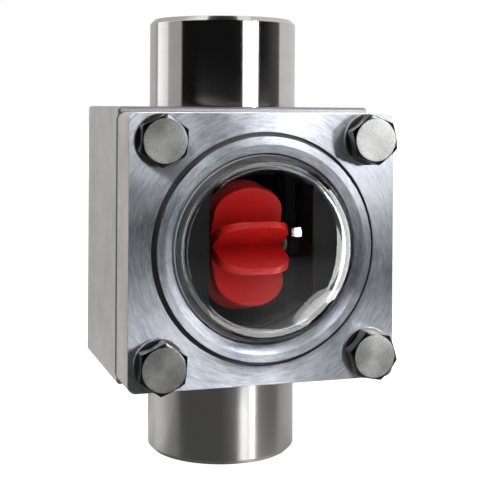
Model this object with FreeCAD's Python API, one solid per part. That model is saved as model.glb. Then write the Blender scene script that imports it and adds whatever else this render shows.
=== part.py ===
import FreeCAD, Part
import math
import os

# Impeller flow indicator for a vertical pipe run.
# A square steel body carries a threaded socket at each end. A bolted cover plate clamps a domed sight
# glass on its front, and a nine-vaned red rotor turns behind the glass in a black carrier.
# Millimetres. X is to the right, Y to the back, Z up along the flow. The origin is on the flow axis at the
# end face of the inlet socket. The front of the object faces -Y.

V = FreeCAD.Vector

# Body block
body_width = 78.5
body_height = 81.0
body_front = 25.9            # flow axis to the front face
body_back = 23.7             # flow axis to the back face, clear of the sockets
body_edge_chamfer = 0.6

# Flow path and sockets
flow_bore_diameter = 25.0
socket_diameter = 46.7
socket_length = 27.8         # length outside the body
socket_end_chamfer = 1.5
spigot_wall = 5.5
spigot_length = 8.0
spigot_clearance = 0.02      # radial, spigot in its seat
spigot_lead_in = 0.5
thread_minor_diameter = 30.3
thread_depth = 19.0
thread_mouth_diameter = 33.5
thread_mouth_depth = 0.8

# Cover plate
plate_width = 80.0
plate_height = 78.0
plate_thickness = 17.4
plate_corner_radius = 2.5
plate_edge_chamfer = 0.4
joint_gap = 0.6              # plate to body, held open by the seals
ring_height = 1.6            # raised ring round the opening, above the plate
ring_flat_width = 2.2
groove_width = 1.3           # turned groove round the raised ring
groove_depth = 1.2
countersink_width = 2.5      # radial
countersink_depth = 1.3      # from the top of the raised ring to the straight opening

# Sight glass and its seals
glass_clearance = 0.5        # radial, glass in the opening
glass_wall = 3.2
glass_bore_gap = 4.0         # rotor's tips to the bore of the glass
glass_dome_radius = 50.0     # outside of the dome
glass_rim_round = 6.5        # outside of the rim, where the dome meets the upright side
glass_rim_drop = 2.4         # start of the rim's rounding behind the raised ring's top
glass_flange_thickness = 6.0
flange_overlap = 0.8         # flange beyond the seal groove
flange_clearance = 0.4       # radial, flange in the plate's counterbore
gasket_thickness = 1.0
gasket_clearance = 0.2       # radial, gasket inside the counterbore
glass_standoff = 0.3         # flange to the body's front face
seal_land = 1.4              # between the carrier's pocket and the seal groove
seal_groove_width = 2.8
seal_groove_depth = 1.8

# Bolts and washers, M8
bolt_pitch = 62.5
bolt_diameter = 8.0
bolt_length = 30.0
bolt_head_width = 13.0       # across the flats
bolt_head_height = 5.3
bolt_head_circle = 12.4      # flat circle inside the head's chamfer
bolt_head_chamfer_angle = 30.0
bolt_end_chamfer = 0.8
bolt_hole_clearance = 0.5    # radial, in the plate
thread_clearance = 0.05      # radial, in the body
bolt_hole_margin = 2.0       # tapped hole beyond the bolt's end
washer_diameter = 15.0
washer_clearance = 0.2       # radial, on the bolt
washer_thickness = 1.6
washer_edge_chamfer = 0.25
bolt_corner_angles = (25.0, 40.0, 25.0, 48.0)   # how each head was left when tightened

# Rotor
rotor_diameter = 39.6
rotor_setback = 1.0          # axis behind the body's front face
rotor_drop = 0.9             # axis below the middle of the glass
rotor_side_offset = -1.2     # rotor along its shaft from the middle, to the left
rotor_root_width = 21.4
rotor_shoulder_width = 20.6
rotor_shoulder_radius = 12.0
vane_count = 9
rotor_rest_angle = 3.6       # how far the vanes stand turned up from level
vane_tip_thickness = 2.0
vane_valley_radius = 5.2     # floor of the grooves between vanes
rotor_running_gap = 1.6      # to the chamber wall and to the carrier's sides

# Shaft, bushes and carrier
shaft_diameter = 2.5
shaft_bond = 0.01            # radial, glued shaft in the rotor
shaft_running_clearance = 0.05
shaft_end_float = 0.3
shaft_end_chamfer = 0.2
bush_diameter = 5.0
bush_length = 6.0
bush_end_wall = 1.0
bush_press = 0.03            # radial gap of the bush in the carrier
carrier_rim = 2.6            # outside the window's corners
carrier_thickness = 8.0
carrier_clearance = 0.2      # radial, carrier in its pocket
carrier_window_corner = 2.0
ear_radius = 4.5
ear_end_wall = 1.0           # ear beyond the bush
ear_gap = 1.5                # ears to the bore of the glass
cheek_height = 14.0          # cheeks beside the rotor, in front of the carrier
cheek_step = 3.2             # cheeks stand back from the window's sides
cheek_gap = 0.4              # cheeks to the bore of the glass
dowel_diameter = 3.0
dowel_length = 8.0
dowel_clearance = 0.02
dowel_drop = 9.0             # below the rotor's axis

# Heights and depths worked out from the sizes
body_base = socket_length
body_top = body_base + body_height
total_height = body_top + socket_length
mid_height = body_base + body_height / 2.0
body_face = -body_front
plate_back = body_face - joint_gap
plate_front = plate_back - plate_thickness
flange_back = body_face - glass_standoff
flange_front = flange_back - glass_flange_thickness
plate_shoulder = flange_front - gasket_thickness
pocket_floor = body_face + carrier_thickness
bolt_seat = plate_front - washer_thickness
bolt_end = bolt_seat + bolt_length
centre = V(0, 0, mid_height)

# Radii and widths, from the rotor outwards
bore_radius = flow_bore_diameter / 2.0
spigot_radius = bore_radius + spigot_wall
rotor_radius = rotor_diameter / 2.0
rotor_axis = V(0, body_face + rotor_setback, mid_height - rotor_drop)
chamber_radius = rotor_radius + rotor_running_gap
window_half_width = rotor_root_width / 2.0 + rotor_running_gap
ear_length = bush_length + ear_end_wall
carrier_radius = math.hypot(window_half_width, chamber_radius) + carrier_rim
pocket_radius = carrier_radius + carrier_clearance
seal_radius = pocket_radius + seal_land + seal_groove_width / 2.0
flange_radius = seal_radius + seal_groove_width / 2.0 + flange_overlap
counterbore_radius = flange_radius + flange_clearance
ear_reach = math.hypot(window_half_width + ear_length, ear_radius)
glass_bore_radius = max(rotor_radius + glass_bore_gap, ear_reach + ear_gap)
glass_radius = glass_bore_radius + glass_wall
opening_radius = glass_radius + glass_clearance
countersink_radius = opening_radius + countersink_width
ring_radius = countersink_radius + ring_flat_width
glass_rim_level = plate_front - ring_height + glass_rim_drop


def save(name, shape):
    """Write one piece to its own file."""
    solid = shape.removeSplitter() if len(shape.Solids) == 1 else shape
    print(name, len(solid.Solids), round(solid.Volume, 1), solid.isValid())
    solid.exportStep(os.path.join("parts", name + ".step"))


def block(x0, x1, y0, y1, z0, z1):
    """Box between two corners."""
    return Part.makeBox(x1 - x0, y1 - y0, z1 - z0, V(x0, y0, z0))


def rod(radius, start, end):
    """Cylinder from one point to another."""
    path = end - start
    return Part.makeCylinder(radius, path.Length, start, path)


def turned(profile, origin, axis):
    """Solid turned from a closed profile of (radius, distance along the axis) points."""
    side = V(0, 0, 1) if abs(axis.z) < 0.5 else V(1, 0, 0)
    points = [origin + side * r + axis * d for r, d in profile]
    face = Part.Face(Part.makePolygon(points + points[:1]))
    return outward(face.revolve(origin, axis, 360))


def outward(solid):
    """Same solid with its faces pointing outwards."""
    solid = Part.Solid(solid.Shells[0]) if solid.ShapeType != "Solid" else solid
    if solid.Volume < 0:
        solid.reverse()
    return solid


def edges_along(shape, direction):
    """Straight edges of a shape that run along a direction."""
    lines = [e for e in shape.Edges if e.Curve.TypeId == "Part::GeomLine"]
    return [e for e in lines if e.Curve.Direction.cross(direction).Length < 1e-6]


def bolt_places():
    """Centres of the four bolts on the plate's front, from top left, row by row."""
    half = bolt_pitch / 2.0
    return [V(x, plate_front, mid_height + z) for z in (half, -half) for x in (-half, half)]


def make_body():
    half = body_width / 2.0
    shape = block(-half, half, body_face, body_back, body_base, body_top)
    shape = shape.makeChamfer(body_edge_chamfer, shape.Edges)
    # flow bore and the two spigot seats
    shape = shape.cut(rod(bore_radius, V(0, 0, body_base - 1), V(0, 0, body_top + 1)))
    seat = spigot_radius + spigot_clearance
    shape = shape.cut(rod(seat, V(0, 0, body_base - 1), V(0, 0, body_base + spigot_length)))
    shape = shape.cut(rod(seat, V(0, 0, body_top - spigot_length), V(0, 0, body_top + 1)))
    # chamber that the rotor's back half turns in, and the carrier's pocket
    reach = V(window_half_width, 0, 0)
    shape = shape.cut(rod(chamber_radius, rotor_axis - reach, rotor_axis + reach))
    shape = shape.cut(rod(pocket_radius, V(0, body_face - 1, mid_height), V(0, pocket_floor, mid_height)))
    # groove of the rubber ring
    floor = V(0, body_face + seal_groove_depth, mid_height)
    front = V(0, body_face - 1, mid_height)
    ring = rod(seal_radius + seal_groove_width / 2.0, front, floor)
    ring = ring.cut(rod(seal_radius - seal_groove_width / 2.0, front, floor))
    shape = shape.cut(ring)
    # tapped holes and dowel holes
    for place in bolt_places():
        mouth = V(place.x, body_face - 1, place.z)
        bottom = V(place.x, bolt_end + bolt_hole_margin, place.z)
        shape = shape.cut(rod(bolt_diameter / 2.0 + thread_clearance, mouth, bottom))
    for hole in dowel_holes():
        shape = shape.cut(hole)
    return shape


def dowel_places():
    """Centres of the two dowels, on the floor of the carrier's pocket."""
    x = (window_half_width + carrier_radius) / 2.0
    return [V(side * x, pocket_floor, mid_height - dowel_drop) for side in (-1, 1)]


def dowel_holes():
    half = V(0, dowel_length / 2.0, 0)
    radius = dowel_diameter / 2.0 + dowel_clearance
    return [rod(radius, place - half, place + half) for place in dowel_places()]


def make_socket(end_height, inward):
    """Threaded socket; its spigot points along inward, which is +1 up or -1 down."""
    outer = socket_diameter / 2.0
    thread = thread_minor_diameter / 2.0
    mouth = thread_mouth_diameter / 2.0
    bore = bore_radius
    spigot = spigot_radius
    whole = socket_length + spigot_length
    profile = [
        (mouth, 0),
        (outer - socket_end_chamfer, 0),
        (outer, socket_end_chamfer),
        (outer, socket_length),
        (spigot, socket_length),
        (spigot, whole - spigot_lead_in),
        (spigot - spigot_lead_in, whole),
        (bore, whole),
        (bore, thread_depth),
        (thread, thread_depth),
        (thread, thread_mouth_depth),
    ]
    return turned(profile, V(0, 0, end_height), V(0, 0, inward))


def make_plate():
    half_width = plate_width / 2.0
    half_height = plate_height / 2.0
    shape = block(-half_width, half_width, plate_front, plate_back,
                  mid_height - half_height, mid_height + half_height)
    shape = shape.makeFillet(plate_corner_radius, edges_along(shape, V(0, 1, 0)))
    rims = [e for f in shape.Faces if abs(f.normalAt(0, 0).y) > 0.99 for e in f.Edges]
    shape = shape.makeChamfer(plate_edge_chamfer, rims)
    # raised ring and the groove turned round it
    front = V(0, plate_front, mid_height)
    forward = V(0, -1, 0)
    groove = rod(ring_radius + groove_width, front + forward, front - forward * groove_depth)
    shape = shape.cut(groove)
    shape = shape.fuse(rod(ring_radius, front - forward * groove_depth, front + forward * ring_height))
    # stepped opening: countersink, straight opening and the counterbore for the flange
    depth = plate_thickness + ring_height
    shoulder = plate_shoulder - (plate_front - ring_height)
    opening = [
        (0, -1),
        (countersink_radius, -1),
        (countersink_radius, 0),
        (opening_radius, countersink_depth),
        (opening_radius, shoulder),
        (counterbore_radius, shoulder),
        (counterbore_radius, depth + 1),
        (0, depth + 1),
    ]
    shape = shape.cut(turned(opening, front + forward * ring_height, V(0, 1, 0)))
    for place in bolt_places():
        radius = bolt_diameter / 2.0 + bolt_hole_clearance
        shape = shape.cut(rod(radius, place + forward, V(place.x, plate_back + 1, place.z)))
    return shape


def make_glass():
    """Domed glass with a rounded rim, turned from lines and concentric arcs."""
    reach = glass_radius - glass_rim_round
    joint = math.asin(reach / (glass_dome_radius - glass_rim_round))
    hub = glass_rim_level + (glass_dome_radius - glass_rim_round) * math.cos(joint)
    upright = math.pi / 2.0

    def at(radius, y):
        return V(0, y, mid_height + radius)

    def on_rim(inset, turn):
        size = glass_rim_round - inset
        return at(reach + size * math.sin(turn), glass_rim_level - size * math.cos(turn))

    def on_dome(inset, turn):
        size = glass_dome_radius - inset
        return at(size * math.sin(turn), hub - size * math.cos(turn))

    corners = [
        on_rim(glass_wall, upright),
        at(glass_bore_radius, flange_back),
        at(flange_radius, flange_back),
        at(flange_radius, flange_front),
        at(glass_radius, flange_front),
        on_rim(0, upright),
    ]
    edges = [Part.LineSegment(a, b).toShape() for a, b in zip(corners, corners[1:])]
    for inset in (0, glass_wall):
        rim = Part.Arc(on_rim(inset, upright), on_rim(inset, (upright + joint) / 2.0), on_dome(inset, joint))
        dome = Part.Arc(on_dome(inset, joint), on_dome(inset, joint / 2.0), on_dome(inset, 0))
        edges.append(rim.toShape())
        edges.append(dome.toShape())
    edges.append(Part.LineSegment(on_dome(0, 0), on_dome(glass_wall, 0)).toShape())
    face = Part.Face(Part.Wire(Part.__sortEdges__(edges)))
    return outward(face.revolve(centre, V(0, 1, 0), 360))


def make_gasket():
    outer = counterbore_radius - gasket_clearance
    return turned([(opening_radius, plate_shoulder), (outer, plate_shoulder),
                   (outer, flange_front), (opening_radius, flange_front)], centre, V(0, 1, 0))


def make_seal_ring():
    """Rubber ring, as thick as the space between its groove and the glass."""
    cord = seal_groove_depth + glass_standoff
    middle = V(0, flange_back + cord / 2.0, mid_height)
    return Part.makeTorus(seal_radius, cord / 2.0, middle, V(0, 1, 0))


def make_washer(place):
    outer = washer_diameter / 2.0
    bore = bolt_diameter / 2.0 + washer_clearance
    edge = washer_edge_chamfer
    profile = [(bore, 0), (outer, 0), (outer, washer_thickness - edge),
               (outer - edge, washer_thickness), (bore, washer_thickness)]
    return turned(profile, place, V(0, -1, 0))


def make_bolt(place, corner_angle):
    """Hexagon bolt with its head turned to corner_angle."""
    seat = V(place.x, bolt_seat, place.z)
    corner = bolt_head_width / math.sqrt(3.0)
    angles = [math.radians(corner_angle + 60.0 * k) for k in range(6)]
    points = [seat + V(corner * math.cos(a), 0, corner * math.sin(a)) for a in angles]
    head = Part.Face(Part.makePolygon(points + points[:1])).extrude(V(0, -bolt_head_height, 0))
    flat = bolt_head_circle / 2.0
    drop = (corner - flat) * math.tan(math.radians(bolt_head_chamfer_angle))
    cone = turned([(0, 0), (corner, 0), (corner, bolt_head_height - drop),
                   (flat, bolt_head_height), (0, bolt_head_height)], seat, V(0, -1, 0))
    radius = bolt_diameter / 2.0
    shank = turned([(0, 0), (radius, 0), (radius, bolt_length - bolt_end_chamfer),
                    (radius - bolt_end_chamfer, bolt_length), (0, bolt_length)], seat, V(0, 1, 0))
    return head.common(cone).fuse(shank)


def rotor_section():
    """Star section of the rotor across its axis: straight-sided vanes with round tips."""
    step = 2.0 * math.pi / vane_count
    half_tip = vane_tip_thickness / 2.0

    def at(radius, angle):
        # angle 0 points forward, out of the glass
        return rotor_axis + V(0, -radius * math.cos(angle), radius * math.sin(angle))

    edges = []
    for k in range(vane_count):
        valley = k * step + math.radians(rotor_rest_angle)
        middle = valley + step / 2.0
        shoulder = rotor_radius - half_tip
        spread = math.atan2(half_tip, shoulder)
        reach = math.hypot(shoulder, half_tip)
        first = at(reach, middle - spread)
        last = at(reach, middle + spread)
        edges.append(Part.LineSegment(at(vane_valley_radius, valley), first).toShape())
        edges.append(Part.Arc(first, at(rotor_radius, middle), last).toShape())
        edges.append(Part.LineSegment(last, at(vane_valley_radius, valley + step)).toShape())
    return Part.Face(Part.Wire(edges))


def elliptic_arch(middle, across, rise):
    """Half ellipse from middle + across, over middle + rise, to middle - across."""
    if across.Length >= rise.Length:
        curve = Part.Ellipse(middle + across, middle + rise, middle)
        return curve.toShape(0, math.pi)
    curve = Part.Ellipse(middle + rise, middle - across, middle)
    return curve.toShape(-math.pi / 2.0, math.pi / 2.0)


def make_rotor():
    """Vaned rotor: the long star section, kept inside a turned envelope with arched vane ends."""
    root = rotor_root_width / 2.0
    shoulder = rotor_shoulder_width / 2.0
    star = rotor_section()
    star.translate(V(rotor_side_offset - root, 0, 0))
    star = star.extrude(V(rotor_root_width, 0, 0))

    def at(x, radius):
        return rotor_axis + V(rotor_side_offset + x, 0, radius)

    corners = [
        at(-shoulder, rotor_shoulder_radius),
        at(-root, vane_valley_radius),
        at(-root, 0),
        at(root, 0),
        at(root, vane_valley_radius),
        at(shoulder, rotor_shoulder_radius),
    ]
    edges = [Part.LineSegment(a, b).toShape() for a, b in zip(corners, corners[1:])]
    rise = V(0, 0, rotor_radius - rotor_shoulder_radius)
    edges.append(elliptic_arch(at(0, rotor_shoulder_radius), V(shoulder, 0, 0), rise))
    envelope = Part.Face(Part.Wire(Part.__sortEdges__(edges))).revolve(rotor_axis, V(1, 0, 0), 360)
    shape = star.common(outward(envelope))
    shape = shape.cut(rod(shaft_diameter / 2.0 + shaft_bond, at(-root - 1, 0), at(root + 1, 0)))
    return shape


def shaft_half_length():
    return window_half_width + bush_length - bush_end_wall - shaft_end_float


def make_shaft():
    radius = shaft_diameter / 2.0
    half = shaft_half_length()
    edge = shaft_end_chamfer
    profile = [(0, -half), (radius - edge, -half), (radius, edge - half),
               (radius, half - edge), (radius - edge, half), (0, half)]
    return turned(profile, rotor_axis, V(1, 0, 0))


def make_bush(side):
    """Cup bush: open towards the rotor, closed at its outer end, which takes the thrust."""
    radius = bush_diameter / 2.0
    bore = shaft_diameter / 2.0 + shaft_running_clearance
    depth = bush_length - bush_end_wall
    profile = [(bore, 0), (radius, 0), (radius, bush_length), (0, bush_length), (0, depth), (bore, depth)]
    return turned(profile, rotor_axis + V(side * window_half_width, 0, 0), V(side, 0, 0))


def make_carrier():
    """Black disc with a window for the rotor, and an ear and a cheek at each side of it."""
    shape = rod(carrier_radius, V(0, body_face, mid_height), V(0, pocket_floor, mid_height))
    cheek_radius = glass_bore_radius - cheek_gap
    cheek_front = body_face - cheek_height
    half_gap = window_half_width + cheek_step
    cheeks = rod(cheek_radius, V(0, cheek_front, mid_height), V(0, body_face, mid_height))
    between = block(-half_gap, half_gap, cheek_front - 1, body_face, mid_height - cheek_radius - 1,
                    mid_height + cheek_radius + 1)
    shape = shape.fuse(cheeks.cut(between))
    for side in (-1, 1):
        inner = V(side * window_half_width, 0, 0)
        outer = V(side * (window_half_width + ear_length), 0, 0)
        shape = shape.fuse(rod(ear_radius, rotor_axis + inner, rotor_axis + outer))
        low = min(inner.x, outer.x)
        shape = shape.fuse(block(low, low + ear_length, rotor_axis.y, pocket_floor,
                                 rotor_axis.z - ear_radius, rotor_axis.z + ear_radius))
    window = block(-window_half_width, window_half_width, rotor_axis.y - ear_radius - 1, pocket_floor + 1,
                   rotor_axis.z - chamber_radius, rotor_axis.z + chamber_radius)
    window = window.makeFillet(carrier_window_corner, edges_along(window, V(0, 1, 0)))
    shape = shape.cut(window)
    reach = V(carrier_radius + 1, 0, 0)
    shape = shape.cut(rod(bush_diameter / 2.0 + bush_press, rotor_axis - reach, rotor_axis + reach))
    for hole in dowel_holes():
        shape = shape.cut(hole)
    return shape


def make_dowel(place):
    radius = dowel_diameter / 2.0
    half = V(0, dowel_length / 2.0, 0)
    return rod(radius, place - half, place + half)


def main():
    os.makedirs("parts", exist_ok=True)
    save("body_block", make_body())
    save("inlet_socket", make_socket(0, 1))
    save("outlet_socket", make_socket(total_height, -1))
    save("cover_plate", make_plate())
    save("sight_glass", make_glass())
    save("glass_gasket", make_gasket())
    save("glass_seal_ring", make_seal_ring())
    save("rotor_carrier", make_carrier())
    save("rotor", make_rotor())
    save("rotor_shaft", make_shaft())
    for side, name in ((-1, "left"), (1, "right")):
        save("bearing_bush_" + name, make_bush(side))
    for place, name in zip(dowel_places(), ("left", "right")):
        save("carrier_dowel_" + name, make_dowel(place))
    names = ("top_left", "top_right", "bottom_left", "bottom_right")
    for place, name, angle in zip(bolt_places(), names, bolt_corner_angles):
        save("cover_washer_" + name, make_washer(place))
        save("cover_bolt_" + name, make_bolt(place, angle))


main()
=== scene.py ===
import math

import bmesh
import bpy
from mathutils import Matrix, Vector


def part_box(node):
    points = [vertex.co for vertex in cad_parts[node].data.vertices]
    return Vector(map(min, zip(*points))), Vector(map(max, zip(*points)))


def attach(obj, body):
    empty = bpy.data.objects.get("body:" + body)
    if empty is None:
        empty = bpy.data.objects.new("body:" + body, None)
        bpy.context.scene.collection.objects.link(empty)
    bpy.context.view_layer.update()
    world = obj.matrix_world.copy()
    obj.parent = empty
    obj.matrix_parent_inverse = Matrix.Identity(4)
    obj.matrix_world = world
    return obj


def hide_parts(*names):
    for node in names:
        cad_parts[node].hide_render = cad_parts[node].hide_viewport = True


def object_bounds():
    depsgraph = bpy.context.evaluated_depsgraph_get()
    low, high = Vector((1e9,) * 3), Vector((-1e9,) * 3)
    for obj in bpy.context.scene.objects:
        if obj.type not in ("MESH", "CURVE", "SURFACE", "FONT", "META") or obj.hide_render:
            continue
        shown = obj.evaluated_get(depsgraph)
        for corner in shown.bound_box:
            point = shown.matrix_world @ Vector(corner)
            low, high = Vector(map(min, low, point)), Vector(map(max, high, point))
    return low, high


# Impeller flow indicator: a square steel body with a pipe socket above and below, and a red rotor behind a
# domed sight glass that a bolted cover plate clamps to the front. Metres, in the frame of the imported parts.
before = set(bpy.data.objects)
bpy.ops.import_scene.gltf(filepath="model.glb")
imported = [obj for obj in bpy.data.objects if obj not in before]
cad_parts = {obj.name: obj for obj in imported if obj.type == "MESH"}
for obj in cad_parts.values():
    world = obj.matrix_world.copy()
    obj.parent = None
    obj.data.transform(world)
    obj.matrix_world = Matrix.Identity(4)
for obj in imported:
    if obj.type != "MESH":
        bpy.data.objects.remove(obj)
cad_low, cad_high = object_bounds()

# Body block
# A square block of stainless steel, milled to size and ground along its height, which everything else is
# pressed or bolted into. The bores, the rotor's chamber and the seal groove are cut from the solid, and their
# faces are painted dark as shade.
mm = 0.001
body_low, body_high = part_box("body_block")
middle = Vector((0, 0, (body_low.z + body_high.z) / 2))
body_colour = (0.74, 0.71, 0.70)
# Dark colour painted on the block's inner faces as shade.
bore_shade_colour = (0.10, 0.10, 0.10)
front_colour = (0.68, 0.70, 0.74)
body_edge = 0.22 * mm
body_skin = 0.8 * mm
merge_gap = 0.002 * mm
flat_angle = math.radians(0.5)
sharp_angle = math.radians(30)
smooth_angle = math.radians(40)


def start_material(name, colour, metallic, roughness):
    """New material with one principled shader, and that shader."""
    material = bpy.data.materials.new(name)
    material.use_nodes = True
    shader = material.node_tree.nodes["Principled BSDF"]
    shader.inputs["Base Color"].default_value = (*colour, 1)
    shader.inputs["Metallic"].default_value = metallic
    shader.inputs["Roughness"].default_value = roughness
    return material, shader


def add(material, kind, inputs, **settings):
    """New node; each input is a value, or another node's output to link."""
    node = material.node_tree.nodes.new(kind)
    for name, value in settings.items():
        setattr(node, name, value)
    for key, value in inputs.items():
        if isinstance(value, bpy.types.NodeSocket):
            material.node_tree.links.new(value, node.inputs[key])
        else:
            node.inputs[key].default_value = value
    return node


def place_on_piece(material, centre=(0, 0, 0), scale=(1, 1, 1)):
    """Object coordinates from a centre, stretched by scale."""
    spot = add(material, "ShaderNodeTexCoord", {})
    moved = add(material, "ShaderNodeVectorMath", {0: spot.outputs["Object"], 1: centre},
                operation="SUBTRACT")
    sized = add(material, "ShaderNodeVectorMath", {0: moved.outputs[0], 1: scale}, operation="MULTIPLY")
    return sized.outputs[0]


def noise(material, vector, scale, detail=3.0, roughness=0.6):
    """Uneven pattern from 0 to 1."""
    node = add(material, "ShaderNodeTexNoise",
               {"Vector": vector, "Scale": scale, "Detail": detail, "Roughness": roughness})
    return node.outputs["Fac"]


def spread(material, factor, low, high, start=0.25, end=0.75):
    """Maps a pattern from start..end to low..high."""
    node = add(material, "ShaderNodeMapRange",
               {"Value": factor, "From Min": start, "From Max": end, "To Min": low, "To Max": high})
    return node.outputs["Result"]


def mix_colours(material, factor, dark, light):
    """Colour between dark and light by a pattern."""
    node = add(material, "ShaderNodeMix", {0: factor, 6: (*dark, 1), 7: (*light, 1)}, data_type="RGBA")
    return node.outputs[2]


def times(colour, amount):
    """Colour made darker or lighter."""
    return tuple(min(1.0, c * amount) for c in colour)


def wear(material, shader, streaks, blotches, colour, roughness, contrast, bump, depth, dark=None):
    """Colour, roughness and relief of a worked surface from fine streaks and broad blotches."""
    dark = dark or times(colour, 1 - contrast)
    light = times(colour, 1 + contrast)
    both = add(material, "ShaderNodeMath", {0: streaks, 1: blotches}, operation="ADD")
    half = add(material, "ShaderNodeMath", {0: both.outputs[0], 1: 0.5}, operation="MULTIPLY")
    tone = spread(material, half.outputs[0], 0.0, 1.0, 0.32, 0.68)
    gloss = spread(material, half.outputs[0], roughness * 0.82, roughness * 1.18)
    links = material.node_tree.links
    links.new(mix_colours(material, tone, dark, light), shader.inputs["Base Color"])
    links.new(gloss, shader.inputs["Roughness"])
    relief = add(material, "ShaderNodeBump", {"Height": streaks, "Strength": bump, "Distance": depth})
    links.new(relief.outputs["Normal"], shader.inputs["Normal"])


def ground_steel(name, colour, roughness):
    """Steel ground along Z, with long fine scratches and faint stains."""
    material, shader = start_material(name, colour, 1.0, roughness)
    streaks = noise(material, place_on_piece(material, scale=(2600, 2600, 60)), 1.0, 4.0)
    blotches = noise(material, place_on_piece(material), 90.0, 3.0)
    wear(material, shader, streaks, blotches, colour, roughness, contrast=0.17, bump=0.35, depth=0.04 * mm)
    return material


def round_edges(bm, edge, sharp):
    """Rounds every edge whose faces meet at more than the sharp angle."""
    keen = [e for e in bm.edges if len(e.link_faces) == 2 and e.calc_face_angle() > sharp]
    bmesh.ops.bevel(bm, geom=keen, offset=edge, offset_type="OFFSET", segments=2, profile=0.5,
                    affect="EDGES", clamp_overlap=True, material=-1)


def softened(node, edge):
    """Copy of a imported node's mesh, merged, with its sharp edges rounded a little."""
    bm = bmesh.new()
    bm.from_mesh(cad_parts[node].data)
    bmesh.ops.remove_doubles(bm, verts=bm.verts[:], dist=merge_gap)
    bmesh.ops.dissolve_limit(bm, angle_limit=flat_angle, verts=bm.verts[:], edges=bm.edges[:])
    round_edges(bm, edge, sharp_angle)
    return bm


def finish_piece(bm, name, materials, body, nodes, flat_faces=True):
    """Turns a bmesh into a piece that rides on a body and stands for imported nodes."""
    mesh = bpy.data.meshes.new(name)
    bm.to_mesh(mesh)
    bm.free()
    mesh.shade_smooth()
    mesh.set_sharp_from_angle(angle=smooth_angle)
    for material in materials:
        mesh.materials.append(material)
    piece = bpy.data.objects.new(name, mesh)
    bpy.context.scene.collection.objects.link(piece)
    if flat_faces:
        even = piece.modifiers.new("even shading", "WEIGHTED_NORMAL")
        even.keep_sharp = True
    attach(piece, body)
    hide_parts(*nodes)
    return piece


body_steel = ground_steel("ground body steel", body_colour, roughness=0.34)
bore_painted_shade = ground_steel("body bores with painted shade", bore_shade_colour, roughness=0.55)
front_steel = ground_steel("milled body front", front_colour, roughness=0.50)
body_mesh = softened("body_block", body_edge)
# Faces deeper than body_skin inside the block, in the bores, the chamber and the groove, are painted dark as
# shade.
for face in body_mesh.faces:
    spot = face.calc_center_median()
    depth = min(body_high.x - spot.x, spot.x - body_low.x, body_high.y - spot.y, spot.y - body_low.y,
                body_high.z - spot.z, spot.z - body_low.z)
    face.material_index = 1 if depth > body_skin else 2 if face.normal.y < -0.9 else 0
finish_piece(body_mesh, "ground_body", [body_steel, bore_painted_shade, front_steel], "housing",
             ["body_block"])

# Pipe sockets
# Two turned and polished sockets with a female pipe thread, pressed and welded into the body on their
# spigots. The outer end of each has a turned chamfer, and the polish keeps the round tool marks.
socket_colour = (0.76, 0.745, 0.735)
socket_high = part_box("inlet_socket")[1]
socket_radius = socket_high.x
socket_length = body_low.z
spigot_length = socket_high.z - body_low.z
spigot_radius = 18.0 * mm
socket_chamfer = 1.5 * mm
socket_edge = 0.12 * mm
bore_radius = 12.5 * mm
thread_depth = 19.0 * mm
thread_minor = 15.15 * mm
thread_major = 16.6 * mm
thread_mouth = 16.75 * mm
thread_mouth_depth = 0.8 * mm
thread_pitch = 2.309 * mm
thread_turns = 11
thread_steps = 64
turn_steps = 144
weld_gap = 0.0005 * mm
cut_gap = 0.0001 * mm
level_gap = 0.01 * mm


def eased(points, ease):
    """Outline with each inner corner cut back by ease and rounded."""
    flat = [Vector(p) for p in points]
    outline = [flat[0]]
    for before, corner, after in zip(flat, flat[1:], flat[2:]):
        back_off = corner + (before - corner).normalized() * ease
        go_on = corner + (after - corner).normalized() * ease
        outline += [back_off, (back_off + go_on + corner * 2) / 4, go_on]
    return outline + [flat[-1]]


def lathe(bm, points, centre, axis, steps=turn_steps):
    """Adds the surface turned from (radius, distance along the axis) points."""
    side = Vector((0, 0, 1)) if abs(axis.z) < 0.5 else Vector((1, 0, 0))
    verts = [bm.verts.new(centre + side * r + axis * d) for r, d in points]
    edges = [bm.edges.new(pair) for pair in zip(verts, verts[1:])]
    bmesh.ops.spin(bm, geom=verts + edges, cent=centre, axis=axis, angle=math.tau, steps=steps,
                   use_merge=True)
    close_and_turn_out(bm)


def close_and_turn_out(bm):
    """Merges doubles and points every face outwards."""
    bmesh.ops.remove_doubles(bm, verts=bm.verts[:], dist=weld_gap)
    bmesh.ops.recalc_face_normals(bm, faces=bm.faces[:])


def open_edges(bm, centre, axis, distance):
    """Open edges that lie at a distance along the axis."""
    edges = [e for e in bm.edges if len(e.link_faces) == 1]
    return [e for e in edges if all(abs((v.co - centre).dot(axis) - distance) < level_gap for v in e.verts)]


def cut_thread(bm, centre, axis):
    """Adds the helical thread, cut level at its mouth and at its end."""
    tooth = [(thread_minor, 0.0), (thread_minor, 0.12), (thread_major, 0.44), (thread_major, 0.56),
             (thread_minor, 0.88), (thread_minor, 1.0)]
    first = -1.5 * thread_pitch
    side = Vector((1, 0, 0))
    verts = [bm.verts.new(centre + side * r + axis * (first + part * thread_pitch)) for r, part in tooth]
    edges = [bm.edges.new(pair) for pair in zip(verts, verts[1:])]
    bmesh.ops.spin(bm, geom=verts + edges, cent=centre, axis=axis, dvec=axis * (thread_pitch / thread_steps),
                   angle=math.tau * thread_turns, steps=thread_steps * thread_turns)
    bmesh.ops.remove_doubles(bm, verts=bm.verts[:], dist=weld_gap)
    for distance, outward in ((thread_mouth_depth, -axis), (thread_depth, axis)):
        bmesh.ops.bisect_plane(bm, geom=bm.verts[:] + bm.edges[:] + bm.faces[:], dist=cut_gap,
                               plane_co=centre + axis * distance, plane_no=outward, clear_outer=True)


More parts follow.
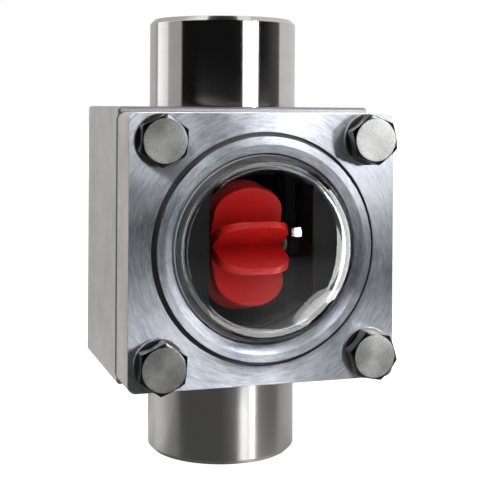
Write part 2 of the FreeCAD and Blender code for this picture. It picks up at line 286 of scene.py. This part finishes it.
def make_socket(centre, axis):
    """Socket with its thread; the axis points from the open end to the body."""
    bm = bmesh.new()
    cut_thread(bm, centre, axis)
    whole = socket_length + spigot_length
    lathe(bm, eased([
        (thread_mouth, 0),
        (socket_radius - socket_chamfer, 0),
        (socket_radius, socket_chamfer),
        (socket_radius, socket_length),
        (spigot_radius, socket_length),
        (spigot_radius, whole),
        (bore_radius, whole),
        (bore_radius, thread_depth),
    ], socket_edge), centre, axis)
    mouth = open_edges(bm, centre, axis, 0)
    bmesh.ops.bridge_loops(bm, edges=mouth + open_edges(bm, centre, axis, thread_mouth_depth))
    bmesh.ops.bridge_loops(bm, edges=open_edges(bm, centre, axis, thread_depth))
    close_and_turn_out(bm)
    return bm


def turned_steel(name, roughness, stretch):
    """Steel turned about Z, with fine round tool marks and a polish that is a little uneven."""
    material, shader = start_material(name, socket_colour, 1.0, roughness)
    marks = noise(material, place_on_piece(material, scale=(40, 40, 4200)), 1.0, 4.0)
    haze = noise(material, place_on_piece(material, scale=(1, 1, 3)), 70.0, 3.0)
    wear(material, shader, marks, haze, socket_colour, roughness, contrast=0.05, bump=0.10, depth=0.02 * mm)
    shader.inputs["Anisotropic"].default_value = stretch
    shader.inputs["Anisotropic Rotation"].default_value = 0.25
    return material


polished_steel = turned_steel("polished socket steel", roughness=0.12, stretch=0.9)
satin_steel = turned_steel("satin socket steel", roughness=0.36, stretch=1.0)
up = Vector((0, 0, 1))
inlet_mesh = make_socket(Vector((0, 0, cad_low.z)), up)
inlet = finish_piece(inlet_mesh, "turned_inlet_socket", [satin_steel], "housing",
                     ["inlet_socket"])
outlet_mesh = make_socket(Vector((0, 0, cad_high.z)), -up)
outlet = finish_piece(outlet_mesh, "turned_outlet_socket", [polished_steel], "housing",
                      ["outlet_socket"])

# Rotor carrier with its dowels and bushes
# A black moulded disc in a pocket of the body. Its window lets the rotor dip into the flow, two ears hold
# white cup bushes, and two steel dowels stop it from turning.
carrier_colour = (0.008, 0.008, 0.009)
carrier_edge = 0.25 * mm
bush_colour = (0.70, 0.69, 0.65)
pin_colour = (0.62, 0.62, 0.62)
pin_roughness = 0.22


def moulded(name, colour, roughness, speck, depth, gloss=0.5, contrast=0.09):
    """Moulded plastic or rubber with faint flow marks and a fine grain."""
    material, shader = start_material(name, colour, 0.0, roughness)
    shader.inputs["Specular IOR Level"].default_value = gloss
    flow = noise(material, place_on_piece(material), 110.0, 3.0)
    grain = noise(material, place_on_piece(material), speck, 4.0)
    wear(material, shader, grain, flow, colour, roughness, contrast, bump=0.3, depth=depth)
    return material


def dress(node, material):
    """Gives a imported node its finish."""
    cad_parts[node].data.materials.clear()
    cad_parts[node].data.materials.append(material)


carrier_plastic = moulded("black carrier plastic", carrier_colour, roughness=0.55, speck=900.0,
                          depth=0.06 * mm, gloss=0.3)
finish_piece(softened("rotor_carrier", carrier_edge), "moulded_carrier", [carrier_plastic], "housing",
             ["rotor_carrier"])

bush_plastic = moulded("white bush plastic", bush_colour, roughness=0.45, speck=1500.0, depth=0.02 * mm)
pin_steel, pin_shader = start_material("ground pin steel", pin_colour, 1.0, pin_roughness)
pin_marks = noise(pin_steel, place_on_piece(pin_steel, scale=(3800, 3800, 120)), 1.0, 4.0)
pin_stains = noise(pin_steel, place_on_piece(pin_steel), 500.0, 3.0)
wear(pin_steel, pin_shader, pin_marks, pin_stains, pin_colour, pin_roughness, contrast=0.08, bump=0.2,
     depth=0.02 * mm)
for side in ("left", "right"):
    dress("bearing_bush_" + side, bush_plastic)
    dress("carrier_dowel_" + side, pin_steel)

# Rotor and shaft
# A nine-vaned rotor moulded in red plastic, glued on a thin ground steel shaft that runs in the bushes.
# The vanes have arched ends and softly rounded rims.
rotor_colour = (0.48, 0.012, 0.011)
rotor_edge = 0.4 * mm
rotor_plastic = moulded("red rotor plastic", rotor_colour, roughness=0.32, speck=650.0, depth=0.006 * mm,
                        gloss=0.3, contrast=0.05)
finish_piece(softened("rotor", rotor_edge), "moulded_rotor", [rotor_plastic], "rotor", ["rotor"])
dress("rotor_shaft", pin_steel)

# Sight glass with its seals
# A thick domed borosilicate glass, polished inside and out, with a rounded rim. Its edge is left ground, and
# its flange is clamped between a flat gasket and a rubber ring.
glass_index = 1.474
edge_colour = (0.42, 0.44, 0.45)
edge_roughness = 0.6
gasket_colour = (0.05, 0.055, 0.055)
gasket_roughness = 0.7
rubber_colour = (0.015, 0.015, 0.015)
glass_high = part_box("sight_glass")[1]
flange_radius = glass_high.x
flange_back = glass_high.y
flange_thickness = 6.0 * mm
glass_radius = 27.0 * mm
glass_wall = 3.2 * mm
glass_bore = glass_radius - glass_wall
glass_edge = 0.3 * mm
ground_band = 0.5 * mm
plate_low, plate_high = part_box("cover_plate")
ring_height = 1.6 * mm
plate_front = plate_low.y + ring_height
rim_level = plate_low.y + 2.4 * mm
rim_start = rim_level + 0.5 * mm
rim_round = 6.5 * mm
dome_sphere = 50.0 * mm
dome_steps = 32
rim_steps = 14
glass_steps = 160
back = Vector((0, 1, 0))

glass_clear, glass_shader = start_material("clear sight glass", (1.0, 1.0, 1.0), 0.0, 0.0)
glass_shader.inputs["Transmission Weight"].default_value = 1.0
glass_shader.inputs["IOR"].default_value = glass_index
polish = noise(glass_clear, place_on_piece(glass_clear), 45.0, 2.0)
smears = noise(glass_clear, place_on_piece(glass_clear, scale=(1, 1, 0.4)), 160.0, 5.0)
smeared = spread(glass_clear, smears, 0.0, 0.02, 0.5, 0.8)
glass_wave = add(glass_clear, "ShaderNodeBump", {"Height": polish, "Strength": 0.06, "Distance": 0.1 * mm})
glass_clear.node_tree.links.new(glass_wave.outputs["Normal"], glass_shader.inputs["Normal"])
glass_clear.node_tree.links.new(smeared, glass_shader.inputs["Roughness"])
glass_ground, ground_shader = start_material("ground glass edge", edge_colour, 0.0, edge_roughness)
ground_shader.inputs["Transmission Weight"].default_value = 0.1
ground_shader.inputs["IOR"].default_value = glass_index
grit = noise(glass_ground, place_on_piece(glass_ground), 1400.0, 5.0)
grinding = noise(glass_ground, place_on_piece(glass_ground, scale=(60, 900, 60)), 1.0, 3.0)
wear(glass_ground, ground_shader, grit, grinding, edge_colour, edge_roughness, contrast=0.12, bump=0.4,
     depth=0.03 * mm)


def dome_outline(inset):
    """Points of the dome from its upright side over the rounded rim to the apex, as (radius, y)."""
    reach = glass_radius - rim_round
    joint = math.asin(reach / (dome_sphere - rim_round))
    hub = rim_level + (dome_sphere - rim_round) * math.cos(joint)
    bends = [math.pi / 2 + (joint - math.pi / 2) * k / rim_steps for k in range(rim_steps)]
    tilts = [joint * (1 - k / dome_steps) for k in range(dome_steps + 1)]
    curl = rim_round - inset
    shell = dome_sphere - inset
    rim = [(reach + curl * math.sin(a), rim_level - curl * math.cos(a)) for a in bends]
    cap = [(shell * math.sin(a), hub - shell * math.cos(a)) for a in tilts]
    return rim + cap


glass_outline = list(reversed(dome_outline(glass_wall))) + eased([
    (glass_bore, rim_start),
    (glass_bore, flange_back),
    (flange_radius, flange_back),
    (flange_radius, flange_back - flange_thickness),
    (glass_radius, flange_back - flange_thickness),
    (glass_radius, rim_start),
], glass_edge) + dome_outline(0.0)
glass_mesh = bmesh.new()
lathe(glass_mesh, glass_outline, middle, back, glass_steps)
for face in glass_mesh.faces:
    spot = face.calc_center_median() - middle
    edge_on = abs(face.normal.y) < 0.2 and face.normal.dot(spot) > 0
    outside = math.hypot(spot.x, spot.z) > glass_radius - ground_band
    face.material_index = 1 if edge_on and outside else 0
glass = finish_piece(glass_mesh, "domed_glass", [glass_clear, glass_ground], "housing",
                     ["sight_glass"], flat_faces=False)

gasket_fibre, gasket_shader = start_material("gasket fibre", gasket_colour, 0.0, gasket_roughness)
fibres = noise(gasket_fibre, place_on_piece(gasket_fibre, scale=(1, 1, 5)), 600.0, 5.0)
press_marks = noise(gasket_fibre, place_on_piece(gasket_fibre), 200.0, 3.0)
wear(gasket_fibre, gasket_shader, fibres, press_marks, gasket_colour, gasket_roughness, contrast=0.45, bump=0.5,
     depth=0.1 * mm)
dress("glass_gasket", gasket_fibre)
seal_rubber = moulded("seal rubber", rubber_colour, roughness=0.5, speck=1200.0, depth=0.02 * mm)
dress("glass_seal_ring", seal_rubber)

# Cover plate
# A thick square steel plate, faced on a lathe, so its front keeps round tool marks about the opening. A
# raised ring with a groove round it frames the glass; the groove and the ring's outer wall are painted darker
# as shade. The edges are milled, with shade painted as a black band along the back where the plate meets the
# body.
plate_colour = (0.62, 0.635, 0.67)
plate_shade = (0.29, 0.32, 0.39)
# Darker colour painted in the groove and on the ring's outer wall as shade.
groove_shade_colour = (0.15, 0.15, 0.155)
milled_colour = (0.70, 0.67, 0.66)
ring_radius = 32.2 * mm
ring_flat = 2.2 * mm
groove_width = 1.3 * mm
groove_depth = 1.2 * mm
groove_near = 0.1 * mm
wall_top = 0.3 * mm
front_lip = 0.5 * mm
opening_radius = 27.5 * mm
opening_depth = 1.3 * mm
flange_play = 0.4 * mm
counterbore_radius = flange_radius + flange_play
gasket_thickness = 1.0 * mm
shoulder = flange_back - flange_thickness - gasket_thickness
plate_corner = 2.5 * mm
plate_rim = 0.14 * mm
# Width of the black band painted as shade along the back of the plate's sides, where it meets the body.
gap_shade_band = 2.4 * mm
hole_radius = 4.5 * mm
bolt_reach = 31.25 * mm
plate_steps = 160
hole_steps = 40


def turned_face(name, centre, colour, roughness, shine, fineness, along, contrast, bump, dark=None):
    """Steel worked in rings about an axis along Y, whose reflections fan out across the rings."""
    material, shader = start_material(name, colour, 1.0, roughness)
    arm = place_on_piece(material, centre=tuple(centre), scale=(1, 0, 1))
    reach = add(material, "ShaderNodeVectorMath", {0: arm}, operation="LENGTH").outputs["Value"]
    heading = add(material, "ShaderNodeVectorMath", {0: arm}, operation="NORMALIZE").outputs[0]
    bend = add(material, "ShaderNodeVectorMath", {0: heading, 3: along}, operation="SCALE").outputs[0]
    far = add(material, "ShaderNodeMath", {0: reach, 1: fineness}, operation="MULTIPLY").outputs[0]
    lift = add(material, "ShaderNodeCombineXYZ", {"Y": far}).outputs[0]
    track = add(material, "ShaderNodeVectorMath", {0: bend, 1: lift}, operation="ADD").outputs[0]
    marks = noise(material, track, 1.0, 4.0, 0.7)
    haze = noise(material, place_on_piece(material), 60.0, 3.0)
    wear(material, shader, marks, haze, colour, roughness, contrast, bump, depth=0.05 * mm, dark=dark)
    shader.inputs["Anisotropic"].default_value = shine
    material.node_tree.links.new(heading, shader.inputs["Tangent"])
    return material


plate_turned = turned_face("faced plate steel", middle, plate_colour, roughness=0.46, shine=0.9,
                           fineness=1500.0, along=9.0, contrast=0.44, bump=0.6, dark=plate_shade)
groove_painted_shade = turned_face("groove steel with painted shade", middle, groove_shade_colour, roughness=0.5, shine=0.5,
                           fineness=3000.0, along=2.0, contrast=0.2, bump=0.3)
plate_milled = ground_steel("milled plate edge", milled_colour, roughness=0.42)


def make_plate():
    """Square plate with the turned ring and opening, and the bolt holes through it."""
    bm = bmesh.new()
    size = Vector((plate_high.x - plate_low.x, plate_high.y - plate_front, plate_high.z - plate_low.z))
    spot = Vector((0, (plate_front + plate_high.y) / 2, middle.z))
    bmesh.ops.create_cube(bm, size=1.0, matrix=Matrix.Translation(spot) @ Matrix.Diagonal((*size, 1)))
    corners = [e for e in bm.edges if abs((e.verts[0].co - e.verts[1].co).y) > 1 * mm]
    bmesh.ops.bevel(bm, geom=corners, offset=plate_corner, segments=8, profile=0.5, affect="EDGES",
                    material=-1)
    ends = [f for f in bm.faces if abs(f.normal.y) > 0.9]
    rims = list({e for f in ends for e in f.edges})
    bmesh.ops.bevel(bm, geom=rims, offset=plate_rim, segments=3, profile=0.5, affect="EDGES", material=-1)
    for face in bm.faces:
        face.material_index = 1
    # A band along the back of the milled sides takes the black rubber finish: painted shade of the gap to the
    # body.
    bmesh.ops.bisect_plane(bm, geom=bm.verts[:] + bm.edges[:] + bm.faces[:], dist=cut_gap,
                           plane_co=Vector((0, plate_high.y - gap_shade_band, 0)), plane_no=back)
    for face in bm.faces:
        if face.calc_center_median().y > plate_high.y - gap_shade_band and abs(face.normal.y) < 0.9:
            face.material_index = 3
    ends = [f for f in bm.faces if abs(f.normal.y) > 0.999]
    bmesh.ops.delete(bm, geom=ends, context="FACES_ONLY")
    turned = bmesh.new()
    lathe(turned, eased([
        (counterbore_radius, plate_high.y),
        (counterbore_radius, shoulder),
        (opening_radius, shoulder),
        (opening_radius, plate_low.y + opening_depth),
        (ring_radius - ring_flat, plate_low.y),
        (ring_radius, plate_low.y),
        (ring_radius, plate_front + groove_depth),
        (ring_radius + groove_width, plate_front + groove_depth),
        (ring_radius + groove_width, plate_front),
        (ring_radius + groove_width + front_lip, plate_front),
    ], plate_rim), middle, back, plate_steps)
    for x in (-bolt_reach, bolt_reach):
        for z in (-bolt_reach, bolt_reach):
            lathe(turned, [(hole_radius, plate_front), (hole_radius, plate_high.y)],
                  Vector((x, 0, middle.z + z)), back, hole_steps)
    mesh = bpy.data.meshes.new("turned part")
    turned.to_mesh(mesh)
    turned.free()
    bm.from_mesh(mesh)
    bpy.data.meshes.remove(mesh)
    for level in (plate_front, plate_high.y):
        rim = open_edges(bm, Vector((0, 0, 0)), back, level)
        bmesh.ops.triangle_fill(bm, use_beauty=True, edges=rim, normal=(0, -1, 0))
    close_and_turn_out(bm)
    # Faces in the groove and on the ring's outer wall get the darker groove material: painted shade.
    for face in bm.faces:
        spot = face.calc_center_median() - middle
        reach = math.hypot(spot.x, spot.z)
        in_groove = reach < ring_radius + groove_width + groove_near and spot.y > plate_front + groove_near
        on_wall = reach < ring_radius + groove_near / 2 and spot.y > plate_low.y + wall_top
        if reach > ring_radius - groove_near and (in_groove or on_wall):
            face.material_index = 2
    return bm


plate_finishes = [plate_turned, plate_milled, groove_painted_shade, seal_rubber]
cover = finish_piece(make_plate(), "faced_cover_plate", plate_finishes, "housing",
                     ["cover_plate"])

# Washers and bolts
# Stamped flat washers under M8 hexagon bolts of stainless steel, each head left at the angle where it came
# tight. The heads' tops are bare, and the rest of each bolt is painted near black as shade and dark reflection.
washer_radius = 7.5 * mm
washer_thickness = 1.6 * mm
washer_edge = 0.25 * mm
washer_steps = 64
washer_roughness = 0.32
bolt_radius = 4.0 * mm
bolt_length = 30.0 * mm
head_flats = 13.0 * mm
head_height = 5.3 * mm
head_circle = 6.2 * mm
head_land = 0.5 * mm
head_spare = 0.1 * mm
head_edge = 0.12 * mm
head_sharp = math.radians(20)
head_skin = 0.02 * mm
bolt_steps = 96
head_slope = math.tan(math.radians(30))
washer_colour = (0.36, 0.36, 0.36)
head_colour = (0.50, 0.50, 0.49)
# Near-black colour painted on the bolts' sides as shade and dark reflection.
hex_side_shade_colour = (0.07, 0.07, 0.07)
drawn_roughness = 0.2
washer_steel, washer_shader = start_material("washer steel", washer_colour, 1.0, washer_roughness)
rolling_marks = noise(washer_steel, place_on_piece(washer_steel, scale=(90, 2400, 2400)), 1.0, 4.0)
washer_stains = noise(washer_steel, place_on_piece(washer_steel), 350.0, 3.0)
wear(washer_steel, washer_shader, rolling_marks, washer_stains, washer_colour, washer_roughness, contrast=0.10,
     bump=0.03, depth=0.02 * mm)


def make_washer(spot):
    """Washer with its stamped edges rounded, flat against the plate."""
    bm = bmesh.new()
    low = plate_front - washer_thickness
    lathe(bm, eased([(bolt_radius, low), (washer_radius, low), (washer_radius, plate_front),
                     (bolt_radius, plate_front), (bolt_radius, low)], washer_edge), spot, back, washer_steps)
    return bm


def make_bolt(spot, corner_angle):
    """Turned blank with a chamfered head, cut to a hexagon by six flats."""
    bm = bmesh.new()
    seat = plate_front - washer_thickness
    top = seat - head_height
    end = seat + bolt_length
    corner = head_flats / math.sqrt(3) + head_spare
    lathe(bm, [(0, top), (head_circle - head_land, top), (head_circle, top),
               (corner, top + (corner - head_circle) * head_slope), (corner, seat),
               (bolt_radius, seat), (bolt_radius, end), (0, end)], spot, back, bolt_steps)
    for k in range(6):
        turn = math.radians(corner_angle + 30 + 60 * k)
        outward = Vector((math.cos(turn), 0, math.sin(turn)))
        flat = spot + outward * head_flats / 2
        cut = bmesh.ops.bisect_plane(bm, geom=bm.verts[:] + bm.edges[:] + bm.faces[:], dist=cut_gap,
                                     plane_co=flat, plane_no=outward, clear_outer=True)
        rim = [e for e in cut["geom_cut"] if isinstance(e, bmesh.types.BMEdge)]
        bmesh.ops.edgeloop_fill(bm, edges=rim)
    close_and_turn_out(bm)
    round_edges(bm, head_edge, head_sharp)
    # All but the head's top takes the near-black steel: painted shade and dark reflection.
    for face in bm.faces:
        face.material_index = 0 if face.calc_center_median().y < top + head_skin else 1
    return bm


bolt_painted_shade, bolt_shade_shader = start_material("bolt sides with painted shade", hex_side_shade_colour, 1.0, drawn_roughness)
drawing_marks = noise(bolt_painted_shade, place_on_piece(bolt_painted_shade, scale=(2600, 80, 2600)), 1.0, 4.0)
drawn_stains = noise(bolt_painted_shade, place_on_piece(bolt_painted_shade), 420.0, 4.0)
wear(bolt_painted_shade, bolt_shade_shader, drawing_marks, drawn_stains, hex_side_shade_colour, drawn_roughness, contrast=0.12,
     bump=0.2, depth=0.03 * mm)
heads = []
for corner, x, z, angle in (("top_left", -1, 1, 25), ("top_right", 1, 1, 40), ("bottom_left", -1, -1, 25),
                            ("bottom_right", 1, -1, 48)):
    spot = middle + Vector((x * bolt_reach, 0, z * bolt_reach))
    head_steel = turned_face("bolt steel " + corner, spot, head_colour, roughness=0.42, shine=0.3,
                             fineness=1300.0, along=9.0, contrast=0.45, bump=0.6)
    heads += [finish_piece(make_washer(spot), "washer_" + corner, [washer_steel], "housing",
                           ["cover_washer_" + corner]),
              finish_piece(make_bolt(spot, angle), "bolt_" + corner, [head_steel, bolt_painted_shade], "housing",
                           ["cover_bolt_" + corner])]

# Stage, lamps and camera
# A pale floor and a white surround. A small softbox lights everything, and the rest are flagged off so that
# each lights only sockets, plate and heads, or glass. Grey cards that only reflections see stand all round.
scene = bpy.context.scene
scene.view_settings.view_transform = "Standard"
world = bpy.data.worlds.new("white surround")
scene.world = world
world.use_nodes = True
sky_light = world.node_tree.nodes["Background"]
sky_light.inputs["Color"].default_value = (1, 1, 1, 1)


def seen_directly(material):
    """1 for what the camera sees, straight or in metal and glass, and 0 for light on the object."""
    path = add(material, "ShaderNodeLightPath", {})
    mirrored = add(material, "ShaderNodeMath",
                   {0: path.outputs["Is Camera Ray"], 1: path.outputs["Is Glossy Ray"]}, operation="MAXIMUM")
    seen = add(material, "ShaderNodeMath",
               {0: mirrored.outputs[0], 1: path.outputs["Is Transmission Ray"]}, operation="MAXIMUM")
    return seen.outputs[0]


white_sky = spread(world, seen_directly(world), 0.5, 1.0, 0.0, 1.0)
sky_path = add(world, "ShaderNodeLightPath", {})
scattered = add(world, "ShaderNodeMath", {0: sky_path.outputs["Diffuse Depth"], 1: 0.5},
                operation="GREATER_THAN")
sky_way = add(world, "ShaderNodeTexCoord", {})
sky_side = add(world, "ShaderNodeSeparateXYZ", {0: sky_way.outputs["Generated"]})
side_light = spread(world, sky_side.outputs["X"], 2.1, 0.7, -0.9, 0.6)
sky_strength = add(world, "ShaderNodeMix", {0: scattered.outputs[0], 2: white_sky, 3: side_light})
world.node_tree.links.new(sky_strength.outputs[0], sky_light.inputs["Strength"])

floor_size = 6.0
floor_colour = (0.32, 0.32, 0.32)
floor_glow = 0.82
floor_bm = bmesh.new()
bmesh.ops.create_grid(floor_bm, x_segments=1, y_segments=1, size=floor_size,
                      matrix=Matrix.Translation((0, 0, cad_low.z)))
floor_mesh = bpy.data.meshes.new("floor")
floor_bm.to_mesh(floor_mesh)
floor_bm.free()
floor = bpy.data.objects.new("floor", floor_mesh)
scene.collection.objects.link(floor)
floor_paint, floor_shader = start_material("pale floor", floor_colour, 0.0, 0.7)
floor_shader.inputs["Emission Color"].default_value = (1, 1, 1, 1)
floor_white = spread(floor_paint, seen_directly(floor_paint), 0.0, floor_glow, 0.0, 1.0)
floor_paint.node_tree.links.new(floor_white, floor_shader.inputs["Emission Strength"])
floor_mesh.materials.append(floor_paint)

camera_place = Vector((-104.66, -348.74, 109.53)) * mm
camera_yaw = math.radians(17.61)
camera_dip = math.radians(0.24)
camera_roll = math.radians(0.36)
camera_data = bpy.data.cameras.new("camera")
camera_data.sensor_width = 36.0
camera_data.lens = 84.48
camera_data.shift_y = -0.272
camera = bpy.data.objects.new("camera", camera_data)
scene.collection.objects.link(camera)
ahead = Vector((math.sin(camera_yaw) * math.cos(camera_dip), math.cos(camera_yaw) * math.cos(camera_dip),
                -math.sin(camera_dip)))
level = Vector((math.cos(camera_yaw), -math.sin(camera_yaw), 0))
right = Matrix.Rotation(-camera_roll, 3, ahead) @ level
top = right.cross(ahead)
camera.matrix_world = Matrix.Translation(camera_place) @ Matrix((right, top, -ahead)).transposed().to_4x4()
scene.camera = camera


def studio_spot(azimuth, distance, height):
    """Point at an azimuth to the right of the front, round the flow axis."""
    a = math.radians(azimuth)
    return Vector((math.sin(a) * distance, -math.cos(a) * distance, height))


def soft_lamp(name, azimuth, distance, height, width, tall, radiance, pieces=(), shape="RECTANGLE"):
    """Softbox that faces the middle of the body, and lights only the given pieces where there are any."""
    data = bpy.data.lights.new(name, "AREA")
    data.shape = shape
    data.size = width
    data.size_y = tall
    data.energy = radiance * math.pi * width * tall
    lamp = bpy.data.objects.new(name, data)
    lamp.location = studio_spot(azimuth, distance, height)
    lamp.rotation_mode = "QUATERNION"
    lamp.rotation_quaternion = (middle - lamp.location).to_track_quat("-Z", "Y")
    lamp.visible_camera = False
    scene.collection.objects.link(lamp)
    if pieces:
        group = bpy.data.collections.new(name + " pieces")
        for piece in pieces:
            group.objects.link(piece)
        lamp.light_linking.receiver_collection = group


soft_lamp("key softbox", azimuth=33.0, distance=0.80, height=0.144, width=0.070, tall=0.070, radiance=80.0)
soft_lamp("outlet strip", azimuth=27.5, distance=1.00, height=0.30, width=0.46, tall=0.60, radiance=2.6,
          pieces=[outlet])
soft_lamp("inlet strip", azimuth=20, distance=1.00, height=0.30, width=0.24, tall=0.60, radiance=5.0,
          pieces=[inlet])
soft_lamp("upper softbox", azimuth=46, distance=0.67, height=0.81, width=0.40, tall=0.50, radiance=14.5,
          pieces=[cover, *heads])
soft_lamp("overhead strip", azimuth=27, distance=0.62, height=0.84, width=0.40, tall=0.60, radiance=6.0,
          pieces=[cover])
soft_lamp("middle plate softbox", azimuth=-4, distance=1.00, height=0.42, width=0.25, tall=0.30, radiance=2.0,
          pieces=[cover])
soft_lamp("left plate softbox", azimuth=-44, distance=0.70, height=0.70, width=0.60, tall=0.50, radiance=6.5,
          pieces=[cover])
soft_lamp("left glass strip", azimuth=-65.5, distance=0.132, height=0.075, width=0.014, tall=0.15, radiance=3.5,
          pieces=[glass])
soft_lamp("right glass strip", azimuth=62, distance=0.112, height=0.070, width=0.042, tall=0.14, radiance=9.0,
          pieces=[glass])
soft_lamp("lower right glass disc", azimuth=50, distance=0.080, height=0.006, width=0.056, tall=0.056,
          radiance=3.6, pieces=[glass], shape="DISK")
soft_lamp("low glass strip", azimuth=8, distance=0.058, height=0.008, width=0.10, tall=0.018, radiance=5.0,
          pieces=[glass])
soft_lamp("high glass strip", azimuth=10, distance=0.058, height=0.128, width=0.09, tall=0.016, radiance=3.0,
          pieces=[glass])
soft_lamp("right plate softbox", azimuth=46, distance=1.00, height=0.05, width=0.30, tall=0.50, radiance=1.2,
          pieces=[cover])


card_steps = 24


def studio_card(name, first, last, outline, material):
    """Card turned from (distance, height) points between two azimuths, seen only in reflections."""
    bm = bmesh.new()
    verts = [bm.verts.new(studio_spot(first, distance, height)) for distance, height in outline]
    edges = [bm.edges.new(pair) for pair in zip(verts, verts[1:])]
    bmesh.ops.spin(bm, geom=verts + edges, cent=(0, 0, 0), axis=(0, 0, 1), angle=math.radians(last - first),
                   steps=card_steps)
    mesh = bpy.data.meshes.new(name)
    bm.to_mesh(mesh)
    bm.free()
    mesh.materials.append(material)
    card = bpy.data.objects.new(name, mesh)
    scene.collection.objects.link(card)
    card.visible_camera = False
    card.visible_diffuse = False
    card.visible_shadow = False


def card_paint(name, glows, near=0.0, far=0.0):
    """Card that lets soft scattered light through. Its glow goes through (azimuth, glow) stops, and may fade
    out between two distances."""
    material, shader = start_material(name, (0, 0, 0), 0.0, 1.0)
    shader.inputs["Specular IOR Level"].default_value = 0.0
    shader.inputs["Emission Color"].default_value = (1, 1, 1, 1)
    spot = place_on_piece(material, scale=(1, -1, 1))
    sides = add(material, "ShaderNodeSeparateXYZ", {0: spot})
    turn = add(material, "ShaderNodeMath", {0: sides.outputs["X"], 1: sides.outputs["Y"]},
               operation="ARCTAN2")
    part = spread(material, turn.outputs[0], 0.0, 1.0, -math.pi, math.pi)
    ramp = add(material, "ShaderNodeValToRGB", {0: part})
    stops = ramp.color_ramp.elements
    stops.remove(stops[1])
    for azimuth, glow in glows:
        stop = stops.new((azimuth + 180) / 360)
        stop.color = (glow, glow, glow, 1)
    stops.remove(stops[0])
    strength = ramp.outputs["Color"]
    if far:
        reach = add(material, "ShaderNodeVectorMath", {0: spot}, operation="LENGTH")
        fade = spread(material, reach.outputs["Value"], 1.0, 0.02, near, far)
        strength = add(material, "ShaderNodeMath", {0: strength, 1: fade}, operation="MULTIPLY").outputs[0]
    material.node_tree.links.new(strength, shader.inputs["Emission Strength"])
    path = add(material, "ShaderNodeLightPath", {})
    soft = add(material, "ShaderNodeMath", {0: path.outputs["Diffuse Depth"], 1: 0.5},
               operation="GREATER_THAN")
    clear = add(material, "ShaderNodeBsdfTransparent", {})
    both = add(material, "ShaderNodeMixShader",
               {0: soft.outputs[0], 1: shader.outputs[0], 2: clear.outputs[0]})
    surface = material.node_tree.nodes["Material Output"].inputs["Surface"]
    material.node_tree.links.new(both.outputs[0], surface)
    return material


wall_glow = [(-180, 0.48), (-147, 0.48), (-144, 0.34), (-140, 0.34), (-137, 1.25), (-126, 1.10),
             (-112, 0.85), (-109, 0.42), (-100, 0.38), (-84, 0.38), (-82, 0.004), (45, 0.004), (56, 0.02),
             (80, 0.09), (82, 0.09), (84, 0.62), (148, 0.66), (160, 0.48), (180, 0.48)]
ground_glow = [(-180, 0.42), (-150, 0.42), (-140, 0.70), (-127, 0.60), (-112, 0.46), (-95, 0.42), (-83, 0.35),
               (-80, 0.11), (-15, 0.11), (2, 0.24), (12, 0.38), (22, 0.42), (32, 0.36), (40, 0.28),
               (52, 0.24), (66, 0.22), (80, 0.30), (95, 0.40), (115, 0.45), (136, 0.70), (180, 0.42)]
ceiling_glow = [(0, 0.004)]
card_reach = 1.3
card_lift = 0.0001
front_first, front_last, back_last = -82, 82, 278
front_wall = [(card_reach, 0.0), (card_reach, 1.3), (0.25, 1.7)]
back_wall = [(card_reach, 0.0), (card_reach, 0.9), (0.6, 1.5)]
ground = [(0.02, card_lift), (card_reach, card_lift)]
ceiling = [(0.01, 1.75), (0.35, 1.70)]
wall_card = card_paint("wall card", wall_glow)
front_card = card_paint("front ground card", ground_glow, near=0.12, far=0.45)
back_card = card_paint("back ground card", ground_glow)
ceiling_card = card_paint("ceiling card", ceiling_glow)
studio_card("front wall", front_first, front_last, front_wall, wall_card)
studio_card("back wall", front_last, back_last, back_wall, wall_card)
studio_card("front ground", front_first, front_last, ground, front_card)
studio_card("back ground", front_last, back_last, ground, back_card)
studio_card("dark ceiling", -180, 180, ceiling, ceiling_card)
